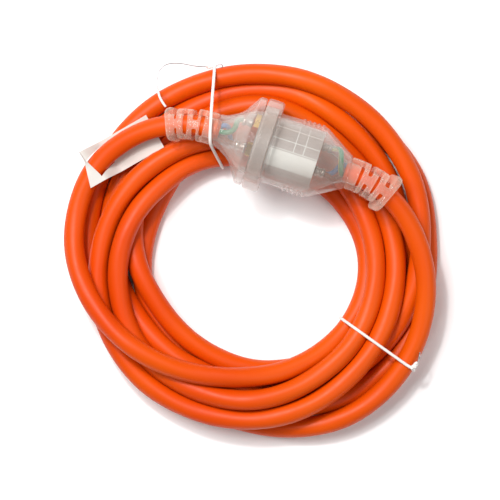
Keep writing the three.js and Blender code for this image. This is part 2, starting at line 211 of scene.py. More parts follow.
def cord_route():
    """The cord's middle line as it is wound, before it settles."""
    turned, out, height = np.array(TURNS, float).T
    degrees = np.arange(FREE_TURNS[0], FREE_TURNS[1] + 1, KNOT_DEGREES, dtype=float)
    angle = np.radians(degrees)
    r = np.interp(degrees, turned, out)
    z = np.interp(degrees, turned, height)
    coiled = np.stack([r * np.cos(angle), r * np.sin(angle), z], axis=1)
    stations = np.linspace(0, RELIEF_LENGTH, 5)
    in_plug = [bent(u, 0, 0, PLUG_RELIEF_S, -1) for u in stations]
    in_socket = [bent(u, 0, 0, SOCKET_RELIEF_S, 1) for u in stations[::-1]]
    first = local(SHEATH_ENDS[0], 0, 0)
    last = local(SHEATH_ENDS[1], 0, 0)
    route = spline([first, *in_plug, *coiled, *in_socket, last], ROUTE_STEP)
    from_end = np.minimum(np.arange(len(route)), np.arange(len(route))[::-1])
    share = np.clip((from_end - HELD) / 5, 0, 1)[:, None]
    return route * (1 - share) + smoothed(route, 8) * share


HELD = 8  # points at each end that the strain reliefs hold
CONTACT = 2 * CORD_R
DROP = 0.06  # how far a step lets each point fall
PLAN_PULL = 0.12  # how much of its sideways drift a step takes back
BEND_ROUNDS = 16  # how often a step evens the bending
SHOVE = (0.35, 0.35, 1)  # turns that touch part more upward than sideways
PLUG_CLEARANCE = 0.2
# The outside of the mated plug and socket, as (s, radius).
MATED_OUTLINE = np.array(
    [(-23, 0), (-20, 8.2), (-12, 12.3), (-8.3, 17.6), (-7, 19.6), (-5.6, 22), (-1.2, 22.7)]
    + [(5.9, 22.7), (6.6, 17.4), (17, 18.5), (29, 18.5), (45.4, 8.2), (47, 0)]
).T


def bending(shape):
    """The pull on each point that evens the bend along a line of points."""
    pull = np.zeros_like(shape)
    pull[2:-2] = 4 * (shape[1:-3] + shape[3:-1]) - shape[:-4] - 6 * shape[2:-2] - shape[4:]
    return pull / 16


def off_the_plug(x, free):
    """How far each free point has to move to lie outside the plug and socket."""
    from_origin = x - ORIGIN
    s = from_origin @ AXIS
    out = from_origin - s[:, None] * AXIS
    reach = np.linalg.norm(out, axis=1)
    room = np.interp(s, *MATED_OUTLINE, left=0, right=0)
    short = np.where((room > 0) & (free > 0.5), room + CORD_R + PLUG_CLEARANCE - reach, 0)
    return out / np.maximum(reach, 1)[:, None] * np.maximum(short, 0)[:, None]


def settle(wound, falling=400, easing=150):
    """The turns drop under their own weight, lie on the floor and on each other, and keep their bends."""
    x = wound.copy()
    n = len(x)
    from_end = np.minimum(np.arange(n), np.arange(n)[::-1])
    free = np.clip((from_end - HELD + 1) / 7, 0, 1)
    column = free[:, None]
    plan = wound * (1, 1, 0)
    one, other = np.triu_indices(n, HELD)
    for turn in range(falling + easing):
        eased = turn >= falling
        if turn % 10 == 0:
            apart = ((x[one, :2] - x[other, :2]) ** 2).sum(1)
            near = apart < (1.6 * CONTACT) ** 2
            a, b = one[near], other[near]
        if not eased:
            x[:, 2] -= DROP * free
            x[:, :2] += PLAN_PULL * column * (wound - x)[:, :2]
        for _ in range(BEND_ROUNDS):
            x += 0.9 * column * bending(x - plan)
        if eased:
            for _ in range(2):
                moved = x - plan
                x[1:-1] += 0.125 * column[1:-1] * (moved[:-2] - 2 * moved[1:-1] + moved[2:])
        want = CONTACT - 0.1 if eased else CONTACT + 0.05
        between = x[a] - x[b]
        distance = np.linalg.norm(between, axis=1)
        touching = distance < want
        i, j, between, distance = a[touching], b[touching], between[touching], distance[touching]
        push = between * SHOVE
        push /= np.maximum(np.linalg.norm(push, axis=1), 1e-6)[:, None]
        slant = np.maximum((push * between).sum(1) / np.maximum(distance, 1e-6), 0.3)
        push *= (0.5 * (want - distance) / slant)[:, None]
        total = np.zeros_like(x)
        count = np.zeros(n)
        np.add.at(total, i, push)
        np.add.at(total, j, -push)
        np.add.at(count, i, 1)
        np.add.at(count, j, 1)
        x += 1.5 * column * total / np.maximum(count, 1)[:, None]
        x += 0.6 * off_the_plug(x, free)
        x[:, 2] = np.maximum(x[:, 2], CORD_R)
    return x


# ---- Meshes ----


def new_object(name, vertices, faces, material, uvs=None):
    """A smooth mesh from points in millimetres. uvs holds one pair for each corner of each face."""
    mesh = bpy.data.meshes.new(name)
    mesh.from_pydata((np.asarray(vertices) * MM).tolist(), [], faces)
    if uvs is not None:
        layer = mesh.uv_layers.new(name="UVMap")
        layer.data.foreach_set("uv", np.asarray(uvs, np.float32).ravel())
    mesh.shade_smooth()
    obj = bpy.data.objects.new(name, mesh)
    obj.data.materials.append(material)
    bpy.context.scene.collection.objects.link(obj)
    return obj


def crisp(obj, degrees=35):
    """Keeps edges sharper than this from being shaded smooth."""
    obj.data.set_sharp_from_angle(angle=math.radians(degrees))
    return obj


def directions(points):
    """The way that a line of points runs, at each point."""
    ahead = np.gradient(points, axis=0)
    return ahead / np.linalg.norm(ahead, axis=1)[:, None]


def carried_sides(points):
    """A sideways direction at each point that doesn't twist along the curve."""
    ahead = directions(points)
    side = np.cross(ahead[0], UP if abs(ahead[0][2]) < 0.9 else (1, 0, 0))
    sides = []
    for t in ahead:
        side = side - t * (side @ t)
        side /= np.linalg.norm(side)
        sides.append(side)
    sides = np.array(sides)
    return sides, np.cross(ahead, sides)


def tube_mesh(points, radius, sides=16, end_round=0.5):
    """Vertices, faces and face-corner uvs of a round bar along points, closed and rounded at both ends.
    radius is a number, or one for each point, or for each point and side."""
    points = np.asarray(points, float)
    n = len(points)
    a, b = carried_sides(points)
    turn = np.arange(sides) * 2 * np.pi / sides
    if np.ndim(radius) == 1:
        radius = np.asarray(radius, float).reshape(-1, 1)
    r = np.broadcast_to(radius, (n, sides))[:, :, None]
    round_it = np.cos(turn)[None, :, None] * a[:, None] + np.sin(turn)[None, :, None] * b[:, None]
    rings = list(points[:, None] + r * round_it)
    ahead = directions(points)
    lip = end_round * float(r[0, 0, 0])
    first_cap = points[0] + (rings[0] - points[0]) * 0.75 - lip * ahead[0] * 0.8
    last_cap = points[-1] + (rings[-1] - points[-1]) * 0.75 + lip * ahead[-1] * 0.8
    rings = [first_cap, *rings, last_cap]
    vertices = np.concatenate(rings + [points[:1] - lip * ahead[:1], points[-1:] + lip * ahead[-1:]])
    rows = n + 2
    run = np.r_[0, np.cumsum(np.linalg.norm(np.diff(points, axis=0), axis=1))]
    run = np.r_[run[0] - lip, run, run[-1] + lip]
    faces, uvs = [], []
    for k in range(rows - 1):
        for i in range(sides):
            j = (i + 1) % sides
            faces.append((k * sides + i, k * sides + j, (k + 1) * sides + j, (k + 1) * sides + i))
            u0, u1 = i / sides, (i + 1) / sides
            uvs += [(u0, run[k] * MM), (u1, run[k] * MM), (u1, run[k + 1] * MM), (u0, run[k + 1] * MM)]
    first, last = rows * sides, rows * sides + 1
    for i in range(sides):
        j = (i + 1) % sides
        faces.append((first, j, i))
        faces.append((last, (rows - 1) * sides + i, (rows - 1) * sides + j))
        uvs += [(i / sides, 0)] * 6
    return vertices, faces, uvs


def tube(name, points, radius, material, sides=16, end_round=0.5):
    vertices, faces, uvs = tube_mesh(points, radius, sides, end_round)
    return new_object(name, vertices, faces, material, uvs)


def lathe(name, outline, material, segments=96, at=(0, 0), reach=None):
    """A closed outline of (s, radius) turned about the mated axis, moved to t, z = at.
    reach(s, radius, angle), if given, makes the radius at each angle from the t axis."""
    turn = np.arange(segments) * 2 * np.pi / segments
    n = len(outline)
    vertices = []
    for a in turn:
        for s, r in outline:
            made = reach(s, r, a) if reach else r
            vertices.append(local(s, at[0] + made * math.cos(a), at[1] + made * math.sin(a)))
    faces = []
    for k in range(segments):
        for i in range(n):
            j = (i + 1) % n
            near, far = k * n, ((k + 1) % segments) * n
            faces.append((near + i, near + j, far + j, far + i))
    return crisp(new_object(name, vertices, faces, material))


NEARLY_STRAIGHT = -0.97  # the cosine of a corner that needs no rounding


def rounded(outline, radius, pieces=4):
    """The closed outline with each corner that isn't nearly straight cut to an arc of about that radius."""
    p = np.asarray(outline, float)
    made = []
    for before, corner, after in zip(np.roll(p, 1, 0), p, np.roll(p, -1, 0)):
        back, on = before - corner, after - corner
        lengths = np.linalg.norm(back), np.linalg.norm(on)
        if (back @ on) / (lengths[0] * lengths[1]) < NEARLY_STRAIGHT:
            made.append(tuple(corner))
            continue
        reach = min(radius, 0.45 * lengths[0], 0.45 * lengths[1])
        start, end = corner + back / lengths[0] * reach, corner + on / lengths[1] * reach
        for x in np.linspace(0, 1, pieces + 1):
            made.append(tuple((1 - x) ** 2 * start + 2 * x * (1 - x) * corner + x**2 * end))
    return made


def applied(obj):
    """The object with its modifiers made part of its mesh."""
    bpy.context.view_layer.update()
    done = bpy.data.meshes.new_from_object(obj.evaluated_get(bpy.context.evaluated_depsgraph_get()))
    obj.modifiers.clear()
    obj.data = done
    obj.data.shade_smooth()
    return obj


# ---- Materials ----


class Shader:
    """A material's nodes, added by short calls."""

    def __init__(self, name, **inputs):
        self.material = bpy.data.materials.new(name)
        self.material.use_nodes = True
        self.tree = self.material.node_tree
        self.bsdf = self.tree.nodes["Principled BSDF"]
        for key, value in inputs.items():
            self.bsdf.inputs[key.replace("_", " ")].default_value = value

    def node(self, kind, values=None):
        made = self.tree.nodes.new("ShaderNode" + kind)
        for key, value in (values or {}).items():
            made.inputs[key].default_value = value
        return made

    def link(self, out, into):
        self.tree.links.new(out, into)

    def noise(self, scale, detail, roughness=0.5):
        made = self.node("TexNoise", {"Scale": scale, "Detail": detail, "Roughness": roughness})
        self.link(self.node("TexCoord").outputs["Object"], made.inputs["Vector"])
        return made.outputs["Fac"]

    def ramp(self, fac, stops, into):
        made = self.node("ValToRGB")
        self.link(fac, made.inputs["Fac"])
        ramp = made.color_ramp
        while len(ramp.elements) < len(stops):
            ramp.elements.new(0.5)
        for element, (at, shade) in zip(ramp.elements, stops):
            element.position = at
            element.color = (*shade, 1)
        self.link(made.outputs["Color"], self.bsdf.inputs[into])

    def spread(self, fac, low, high, into):
        made = self.node("MapRange", {"To Min": low, "To Max": high})
        self.link(fac, made.inputs["Value"])
        self.link(made.outputs["Result"], self.bsdf.inputs[into])

    def edges(self, face_on, edge_on):
        """How solid a see-through surface looks where it faces the eye, and where it turns away."""
        weight = self.node("LayerWeight", {"Blend": 0.3})
        self.spread(weight.outputs["Facing"], face_on, edge_on, "Alpha")

    def bump(self, height, strength, distance):
        made = self.node("Bump", {"Strength": strength, "Distance": distance})
        self.link(height, made.inputs["Height"])
        if self.bsdf.inputs["Normal"].is_linked:
            self.link(self.bsdf.inputs["Normal"].links[0].from_socket, made.inputs["Normal"])
        self.link(made.outputs["Normal"], self.bsdf.inputs["Normal"])


def colour(red, green, blue):
    """A colour given as 0 to 255 on a screen, as the linear values that a shader takes."""
    return tuple((c / 255) ** 2.2 for c in (red, green, blue))


def sheath_material():
    s = Shader("orange_sheath", IOR=1.5, Specular_IOR_Level=0.2)
    s.ramp(s.noise(14, 2), [(0.3, colour(203, 64, 1)), (0.7, colour(214, 82, 3))], "Base Color")
    s.spread(s.noise(260, 4), 0.36, 0.5, "Roughness")
    s.bump(s.noise(900, 3), 0.12, 0.0002)
    s.bump(s.noise(70, 2), 0.1, 0.0006)
    return s.material


def clear_material():
    s = Shader("clear_pvc", Transmission_Weight=0.15, IOR=1.45, Specular_IOR_Level=1.0)
    s.edges(0.12, 0.8)
    s.ramp(s.noise(45, 2), [(0.3, colour(210, 192, 180)), (0.75, colour(238, 230, 223))], "Base Color")
    s.spread(s.noise(180, 3), 0.04, 0.1, "Roughness")
    s.bump(s.noise(120, 2), 0.25, 0.0006)
    return s.material


def relief_material():
    s = Shader("clear_pvc_relief", IOR=1.45, Specular_IOR_Level=1.0)
    s.edges(0.12, 0.76)
    s.ramp(s.noise(60, 2), [(0.3, colour(234, 202, 180)), (0.75, colour(246, 224, 208))], "Base Color")
    s.spread(s.noise(120, 3), 0.06, 0.14, "Roughness")
    s.bump(s.noise(90, 2), 0.12, 0.0004)
    return s.material


def frosted_material():
    s = Shader("frosted_insert", Transmission_Weight=0.2, IOR=1.4)
    s.ramp(s.noise(60, 2), [(0.3, colour(157, 149, 144)), (0.7, colour(185, 178, 173))], "Base Color")
    s.spread(s.noise(200, 2), 0.3, 0.42, "Roughness")
    s.bump(s.noise(300, 2), 0.1, 0.0003)
    return s.material


def metal_material(name, dark, bright, rough):
    s = Shader(name, Metallic=1.0)
    s.ramp(s.noise(220, 3), [(0.3, dark), (0.7, bright)], "Base Color")
    s.spread(s.noise(500, 2), rough, rough + 0.14, "Roughness")
    s.bump(s.noise(900, 2), 0.12, 0.0001)
    return s.material


def core_material(name, base, stripe=None):
    """A core's insulation, with a stripe along one side of it if stripe is given."""
    s = Shader(name, Roughness=0.35, IOR=1.5)
    if stripe is None:
        shade = tuple(0.8 * c for c in base)
        s.ramp(s.noise(160, 2), [(0.3, shade), (0.7, base)], "Base Color")
    else:
        uv = s.node("SeparateXYZ")
        s.link(s.node("TexCoord").outputs["UV"], uv.inputs["Vector"])
        stops = [(0.0, stripe), (0.3, stripe), (0.34, base), (0.96, base), (1.0, stripe)]
        s.ramp(uv.outputs["X"], stops, "Base Color")
    s.bump(s.noise(400, 2), 0.08, 0.0002)
    return s.material


def plastic_material(name, base, rough):
    s = Shader(name, IOR=1.48)
    shade = tuple(0.9 * c for c in base)
    s.ramp(s.noise(90, 3), [(0.3, shade), (0.7, base)], "Base Color")
    s.spread(s.noise(300, 3), rough, rough + 0.12, "Roughness")
    s.bump(s.noise(500, 3), 0.1, 0.0002)
    return s.material


def paper_material():
    s = Shader("tag_paper", IOR=1.45, Specular_IOR_Level=0.3)
    s.ramp(s.noise(55, 3), [(0.3, colour(200, 193, 186)), (0.7, colour(214, 209, 203))], "Base Color")
    s.spread(s.noise(300, 3), 0.5, 0.65, "Roughness")
    s.bump(s.noise(1400, 4, 0.7), 0.12, 0.0001)
    return s.material


SHEATH = sheath_material()
CLEAR = clear_material()
RELIEF_CLEAR = relief_material()
FROSTED = frosted_material()
BRASS = metal_material("pin_brass", colour(176, 140, 78), colour(214, 182, 116), 0.22)
TIN = metal_material("tinned_crimp", colour(84, 76, 70), colour(196, 188, 180), 0.16)
BLACK = plastic_material("pin_sleeve_black", colour(32, 32, 34), 0.4)
TIE_WHITE = plastic_material("tie_coating", colour(236, 230, 225), 0.4)
WIRE = metal_material("tie_wire", colour(150, 148, 150), colour(196, 194, 196), 0.3)
WHITE_BLOCK = plastic_material("insert_white", colour(210, 211, 206), 0.3)
PAPER = paper_material()
CORE_MATERIALS = {
    "active": core_material("core_brown", colour(112, 50, 24)),
    "neutral": core_material("core_blue", colour(62, 118, 178)),
    "earth": core_material("core_green_yellow", colour(0, 118, 82), colour(190, 178, 60)),
}


# ---- Cord ----

CORD_STEP = 2.0
CORD_SIDES = 24
CORES = 3
LAY_PITCH = 110.0  # the twisted cores show faintly through the sheath
LAY_HEIGHT = 0.07


def build_cord():
    """One cord from plug to socket. Returns its middle line."""
    line = evenly(spline(settle(cord_route()), CORD_STEP), CORD_STEP)
    run = np.arange(len(line))[:, None] * CORD_STEP
    turn = np.arange(CORD_SIDES)[None, :] * 2 * np.pi / CORD_SIDES
    lay = CORES * (turn - 2 * np.pi * run / LAY_PITCH)
    radius = CORD_R - LAY_HEIGHT * (1 - np.cos(lay))
    cord = tube("cord", line, radius, SHEATH, CORD_SIDES, 0.12)
    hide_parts("cord_coil", "plug_lead", "socket_lead")
    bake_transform(cord)
    total = len(line) * CORD_STEP
    from_socket = total - np.repeat(np.r_[run[0], run[:, 0], run[-1]], CORD_SIDES)
    from_socket = np.r_[from_socket, total, 0]
    return line


cord_line = build_cord()


# ---- Strain reliefs ----

RELIEF_BORE = 5.25
RELIEF_HEIGHT = 14.0
RELIEF_CORNER = 3.6
RELIEF_WEB = 2.2  # half the width of what joins a neck
RING_SLICES = 7  # the end ring is rounded by slices of falling width
WEB_OVERLAP = 0.6
VOXEL = 0.32
QUARTERS = (0, 90, 180, 270)
# Along each relief: slots open above and below, necks open at the sides, and where it ends.
# The widths are of its sleeve, its block and its end ring.
PLUG_RELIEF = {
    "slots": ((5.6, 7.4), (13.1, 15.2)),
    "necks": ((8.6, 10.9), (17.9, 19.3)),
    "end": 23.1,
    "widths": (15.8, 14.8, 16.4),
}
SOCKET_RELIEF = {
    "slots": ((4.6, 6.1), (12.6, 14.1)),
    "necks": ((8.1, 10.1), (16.7, 19.2)),
    "end": 22.2,
    "widths": (15.8, 16.0, 20.6),
}


def rounded_rectangle(width, height, corner, pieces=6):
    """Points round a rectangle about the middle, with its corners cut to arcs."""
    half_width, half_height = width / 2 - corner, height / 2 - corner
    loop = []
    for x, y, first in zip((1, -1, -1, 1), (1, 1, -1, -1), QUARTERS):
        for k in range(pieces + 1):
            angle = math.radians(first + 90 * k / pieces)
            at = (x * half_width + corner * math.cos(angle), y * half_height + corner * math.sin(angle))
            loop.append(at)
    return loop


def add_prism(vertices, faces, u0, u1, outer, inner=None):
    """A straight block along u with that outline, (v, w) points, and a hole of the same count of points."""
    n = len(outer)
    base = len(vertices)
    loops = [(u0, outer), (u1, outer)]
    if inner is not None:
        loops += [(u1, inner), (u0, inner)]
    for u, loop in loops:
        vertices += [(u, v, w) for v, w in loop]
    rows = len(loops)
    for k in range(rows if inner is not None else 1):
        a, b = base + k * n, base + ((k + 1) % rows) * n
        faces += [(a + i, a + (i + 1) % n, b + (i + 1) % n, b + i) for i in range(n)]
    if inner is None:
        faces.append(tuple(base + i for i in reversed(range(n))))
        faces.append(tuple(base + n + i for i in range(n)))


def relief(name, start, way, plan):
    """A bent sleeve of blocks joined by webs, moulded soft all over."""
    sleeve_width, block_width, ring_width = plan["widths"]
    slots, necks, end = plan["slots"], plan["necks"], plan["end"]
    vertices, faces = [], []
    pieces = 6
    around = np.radians(np.concatenate([np.linspace(f, f + 90, pieces + 1) for f in QUARTERS]))
    bore = [(RELIEF_BORE * math.cos(a), RELIEF_BORE * math.sin(a)) for a in around]
    for u0, u1, width in (
        (0, slots[0][0], sleeve_width),
        (slots[0][1], necks[0][0], sleeve_width),
        (necks[0][1], slots[1][0], block_width),
        (slots[1][1], necks[1][0], block_width),
    ):
        add_prism(vertices, faces, u0, u1, rounded_rectangle(width, RELIEF_HEIGHT, RELIEF_CORNER), bore)
    edges = np.linspace(necks[1][1], end, RING_SLICES + 1)
    middle, half = (edges[0] + edges[-1]) / 2, (edges[-1] - edges[0]) / 2
    for u0, u1 in zip(edges, edges[1:]):
        off = ((u0 + u1) / 2 - middle) / half
        inset = 2 * half * 0.8 * (1 - math.sqrt(1 - off * off))
        loop = rounded_rectangle(ring_width - inset, RELIEF_HEIGHT + 1 - inset, RELIEF_CORNER)
        add_prism(vertices, faces, u0 - 0.02, u1 + 0.02, loop, bore)
    for (u0, u1), width in zip(slots, (sleeve_width, block_width)):
        for side in (-1, 1):
            middle = side * (width / 2 + RELIEF_BORE - 0.4) / 2
            bar = rounded_rectangle(width / 2 - RELIEF_BORE + 0.3, RELIEF_HEIGHT - 5, 0.8, pieces)
            bar = [(v + middle, w) for v, w in bar]
            add_prism(vertices, faces, u0 - WEB_OVERLAP, u1 + WEB_OVERLAP, bar)
    for u0, u1 in necks:
        for side in (-1, 1):
            middle = side * (RELIEF_HEIGHT / 2 + RELIEF_BORE - 0.3) / 2
            bar = rounded_rectangle(2 * RELIEF_WEB, RELIEF_HEIGHT / 2 - RELIEF_BORE, 0.6, pieces)
            bar = [(v, w + middle) for v, w in bar]
            add_prism(vertices, faces, u0 - WEB_OVERLAP, u1 + WEB_OVERLAP, bar)
    obj = new_object(name, vertices, faces, RELIEF_CLEAR)
    remesh = obj.modifiers.new("merge", "REMESH")
    remesh.mode = "VOXEL"
    remesh.voxel_size = VOXEL * MM
    soften = obj.modifiers.new("soften", "SMOOTH")
    soften.factor = 0.5
    soften.iterations = 10
    applied(obj)
    straight = np.empty(len(obj.data.vertices) * 3)
    obj.data.vertices.foreach_get("co", straight)
    placed = np.array([bent(u, v, w, start, way) for u, v, w in straight.reshape(-1, 3) / MM]) * MM
    obj.data.vertices.foreach_set("co", placed.ravel())
    if way > 0:
        obj.data.flip_normals()
    obj.data.update()
    return obj


def build_reliefs():
    plug = relief("plug_relief", PLUG_RELIEF_S, -1, PLUG_RELIEF)
    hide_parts("plug_strain_relief")
    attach(plug, "lead")
    socket = relief("socket_relief", SOCKET_RELIEF_S, 1, SOCKET_RELIEF)
    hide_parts("socket_strain_relief")
    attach(socket, "socket")


build_reliefs()


# ---- Plug and socket mouldings ----


# Closed outlines of the plug's and the socket's walls, as (s, radius).
PLUG_FLARE = [
    (-21.6, 8.15), (-20, 8.0), (-17.6, 8.7), (-15.4, 10.0), (-13.5, 11.1), (-12, 12.3), (-10.4, 14.0),
]
PLUG_RIM = [
    (-9.2, 16.4), (-8.3, 17.6), (-7, 19.6), (-5.6, 22), (-2.1, 22), (-2.1, 18.6), (4.7, 18.6), (4.7, 15.7),
]
PLUG_CHAMBER = [
    (-2.6, 15.7), (-5.5, 14.9), (-8.6, 13.4), (-11.4, 11.2), (-14.2, 8.8), (-17, 6.4), (-19.6, 5.3),
    (-21.6, 5.3),
]
SOCKET_COLLAR = [
    (-1.7, 21.9), (-0.8, 22.7), (5.6, 22.7), (6.6, 21.8), (6.6, 17.4), (12, 17.5), (16.6, 17.7),
]
SOCKET_CONE = [(30, 17.5), (45.5, 8.15), (45.5, 5.3)]
SOCKET_CHAMBER = [
    (43.6, 5.3), (41.6, 6.5), (39, 8.6), (36, 10.9), (33, 13.1), (30.2, 15.65), (5.0, 15.65), (5.0, 19),
    (-1.7, 19),
]
RIB_PITCH = 2.4
RIB_ROOT = 17.65  # the radius between the grip ribs
RIB_TOP = 18.35


def side_ribs(s, r, a):
    """The grip ribs stand out at the two sides only."""
    if not (16.8 < s < 29.9 and 17.6 < r < 19):
        return r
    share = min(max((abs(math.cos(a)) - 0.7) / 0.22, 0), 1)
    return RIB_ROOT + (r - RIB_ROOT) * share


def build_mouldings():
    plug = lathe("plug_body", rounded(PLUG_FLARE + PLUG_RIM + PLUG_CHAMBER, 0.9), CLEAR)
    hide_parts("plug_moulding")
    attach(plug, "lead")

    ribs = []
    for s in np.arange(17, 28, RIB_PITCH):
        ribs += [(s, 17.7), (s + 0.5, RIB_TOP), (s + 1.5, RIB_TOP), (s + 2.0, 17.7)]
    wall = rounded(SOCKET_COLLAR + ribs + SOCKET_CONE + SOCKET_CHAMBER, 0.7, 3)
    socket = lathe("socket_body", wall, CLEAR, 128, (0, 0), side_ribs)
    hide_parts("socket_moulding")
    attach(socket, "socket")


build_mouldings()


# ---- Conductors ----

CRIMP_LENGTH = 5.0
CORE_R = 1.3
# Where each crimp's axis is, as (t, z).
CRIMPS = {"active": (-3.97, 6.85), "neutral": (-3.97, -6.85), "earth": (8.4, 0.0)}
# Each core as (s, t, z) points, from the cord's cut end to inside its crimp.
PLUG_CORES = {
    "active": [(-20.6, -1.9, -0.2), (-17.5, -2.4, 0.2), (-14.6, -3.6, 3.0), (-12.2, -3.97, 6.4)]
    + [(-8, -3.97, 6.85)],
    "neutral": [(-20.6, 1.7, 1.2), (-18.2, 3.2, 1.6), (-15.4, 1.6, -2.4), (-12.6, -3.2, -6.2)]
    + [(-8, -3.97, -6.85)],
    "earth": [(-20.6, -0.4, 1.9), (-18, -0.2, 3.4), (-15.4, 0.6, 4.4), (-13.6, 2.4, 4.2)]
    + [(-13.1, 5.4, 3.2), (-12.6, 7.8, 1.4), (-11, 8.4, 0.2), (-8, 8.4, 0)],
}
SOCKET_CORES = {
    "active": [(44.5, -1.2, 1.5), (42.4, -2.6, 1.2), (40.2, -5.6, 2.4), (37.6, -5.2, 5.6)]
    + [(33, -3.97, 6.85)],
    "neutral": [(44.5, 2.2, 0.4), (42.6, 3.0, 0.6), (40.4, 1.0, -3.6), (37.4, -3.2, -6.2)]
    + [(33, -3.97, -6.85)],
    "earth": [(44.5, -0.9, -1.2), (43.2, -2.0, 0.8), (42.0, -0.4, 3.8), (40.4, 4.4, 4.6)]
    + [(39.0, 8.6, 3.2), (37.2, 9.2, 0.6), (33, 8.4, 0)],
}


def build_core(name, knots, material, body, node):
    points = spline([local(*k) for k in knots], 0.5)
    core = tube(name, points, CORE_R, material, 18, 0.2)
    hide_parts(node)
    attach(core, body)


def build_crimp(name, s0, t, z, body, node):
    """A pressed barrel, waisted where the tool closed on it."""
    s1 = s0 + CRIMP_LENGTH
    outline = [(s0, 1.45), (s0, 2.0), (s0 + 0.5, 2.25), (s0 + 1.4, 2.2), (s0 + 2.0, 1.8), (s0 + 3.0, 1.8)]
    outline += [(s0 + 3.6, 2.2), (s1 - 0.5, 2.25), (s1, 2.0), (s1, 1.45)]
    crimp = lathe(name, rounded(outline, 0.25, 2), TIN, 40, (t, z))
    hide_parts(node)
    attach(crimp, body)


def build_conductors():
    ends = (
        ("plug", PLUG_CORES, -10.5, "lead"),
        ("socket", SOCKET_CORES, 29.7, "socket"),
    )
    for end, cores, crimp_s, body in ends:
        for pin, knots in cores.items():
            node = end + "_core_" + pin
            build_core(node + "_wire", knots, CORE_MATERIALS[pin], body, node)
            t, z = CRIMPS[pin]
            node = end + "_crimp_" + pin
            build_crimp(node + "_barrel", crimp_s, t, z, body, node)


build_conductors()


# ---- Parts that keep their CAD shape ----


def finish_cad(node, material, bevel=0.15):
    """Gives a CAD node its material and rounded edges."""
    obj = frame["nodes"][node]
    obj.data.materials.clear()
    obj.data.materials.append(material)
    crisp(obj, 30)
    edge = obj.modifiers.new("worn_edges", "BEVEL")
    edge.width = bevel * MM
    edge.segments = 2
    edge.limit_method = "ANGLE"
    edge.angle_limit = math.radians(40)


def finish_cad_nodes():
    for pin in ("active", "neutral", "earth"):
        finish_cad("pin_" + pin, BRASS)
        finish_cad("contact_" + pin, BRASS)
    for pin in ("active", "neutral"):
        finish_cad("pin_sleeve_" + pin, BLACK, 0.05)
    finish_cad("plug_pin_bridge", FROSTED, 0.3)
    finish_cad("socket_insert", FROSTED, 0.3)


finish_cad_nodes()


def shell_patch(name, s0, s1, t0, t1, inner, outer, material, pieces=14):
    """A thin plate bent round the insert, from s0 to s1 and t0 to t1 on its upper side."""
    outline = []
    for r, order in ((outer, 1), (inner, -1)):
        ts = np.linspace(t0, t1, pieces)[::order]
        outline += [(t, math.sqrt(r * r - t * t)) for t in ts]
    n = len(outline)
    vertices = [local(s, t, z) for s in (s0, s1) for t, z in outline]
    faces = [(i, (i + 1) % n, n + (i + 1) % n, n + i) for i in range(n)]
    for k in range(pieces - 1):
        faces.append((k + 1, k, n - 1 - k, n - 2 - k))
        faces.append((n + k, n + k + 1, 2 * n - 2 - k, 2 * n - 1 - k))
    return crisp(new_object(name, vertices, faces, material), 30)


INSERT_ENDS = (5.4, 29.3)  # s of the two ends of what is raised on the insert
INSERT_SKIN = 15.2  # a radius just under the insert's surface, which the raised pieces start from
SEAM_R = 15.5
BLOCK_R = 15.52


def build_insert_details():
    """The white block and the raised seams that show through the socket's clear housing."""
    pieces = [shell_patch("insert_block", *INSERT_ENDS, -8.6, -0.2, INSERT_SKIN, BLOCK_R, WHITE_BLOCK)]
    for k, t in enumerate((0.2, 4.9, 10.6)):
        name = "insert_rail_%d" % k
        pieces.append(shell_patch(name, *INSERT_ENDS, t, t + 0.4, INSERT_SKIN, SEAM_R, WHITE_BLOCK, 3))
    for k, s in enumerate((16.9, 21.8)):
        name = "insert_band_%d" % k
        pieces.append(shell_patch(name, s, s + 0.45, 0.3, 14.4, INSERT_SKIN, SEAM_R, WHITE_BLOCK))
    for piece in pieces:
        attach(piece, "socket")


build_insert_details()


# ---- Ties ----

TIE_R = 0.76
WIRE_R = 0.24
SLACK = 4  # how far past a turn's edge a turn still counts as inside the loop
TIE_STEP = 0.7
# Where each tie's loop goes down outside the turns and inside them, on plan.
BOTTOM_TIE = ((75.5, -54.5), (44.2, -32.2))
TOP_TIE = ((-17.4, 89.1), (-13.4, 40.5))
# How far the top tie stands sideways of straight, at each y from its inner end to its outer end.
LEAN = np.array(
    [(40.5, 0), (45.7, -3.2), (52.4, -4.9), (59.8, -4.4), (66, -3.2), (72.6, -2.5), (79.3, -1.9), (89.1, 0)]
).T


def crossings(line, start, ahead):
    """Where the cord passes through the upright plane from start along ahead, as (distance, height)."""
    across = np.array([-ahead[1], ahead[0], 0])
    offset = (line - start) @ across
    found = []
    for k in np.where(offset[:-1] * offset[1:] <= 0)[0]:
        share = offset[k] / (offset[k] - offset[k + 1])
        point = line[k] + share * (line[k + 1] - line[k])
        found.append(((point - start) @ ahead, point[2]))
    return found


def hull(points):
    """The points on the outside of a set, in order round it."""
    p = sorted(map(tuple, points))

    def chain(ordered):
        made = []
        for q in ordered:
            while len(made) > 1:
                (ax, ay), (bx, by) = made[-2], made[-1]
                if (bx - ax) * (q[1] - ay) - (by - ay) * (q[0] - ax) > 1e-9:
                    break
                made.pop()
            made.append(q)
        return made[:-1]

    return chain(p) + chain(p[::-1])


